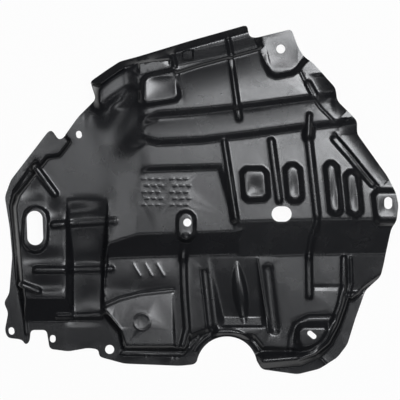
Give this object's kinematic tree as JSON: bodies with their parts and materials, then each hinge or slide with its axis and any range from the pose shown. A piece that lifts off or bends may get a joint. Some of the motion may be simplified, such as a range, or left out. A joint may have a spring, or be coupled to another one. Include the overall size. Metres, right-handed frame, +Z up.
{
  "type": "fender splash shield",
  "caption": "One-piece moulded plastic under-cover with stepped decks, pads, beads and fixing holes, which keeps road spray out.",
  "frame": {"origin": "centre of the part's box in plan, at the surface that the part lies on", "axes": "+Z up out of the ribbed upper face, +X along the longest side, +Y towards the top flange"},
  "size_m": [0.6902, 0.6106, 0.066],
  "materials": {
    "shield_plastic": "black injection-moulded polypropylene with a fine grain and a soft gloss"
  },
  "bodies": {
    "root": {"splash_shield": "shield_plastic"}
  },
  "joints": []
}
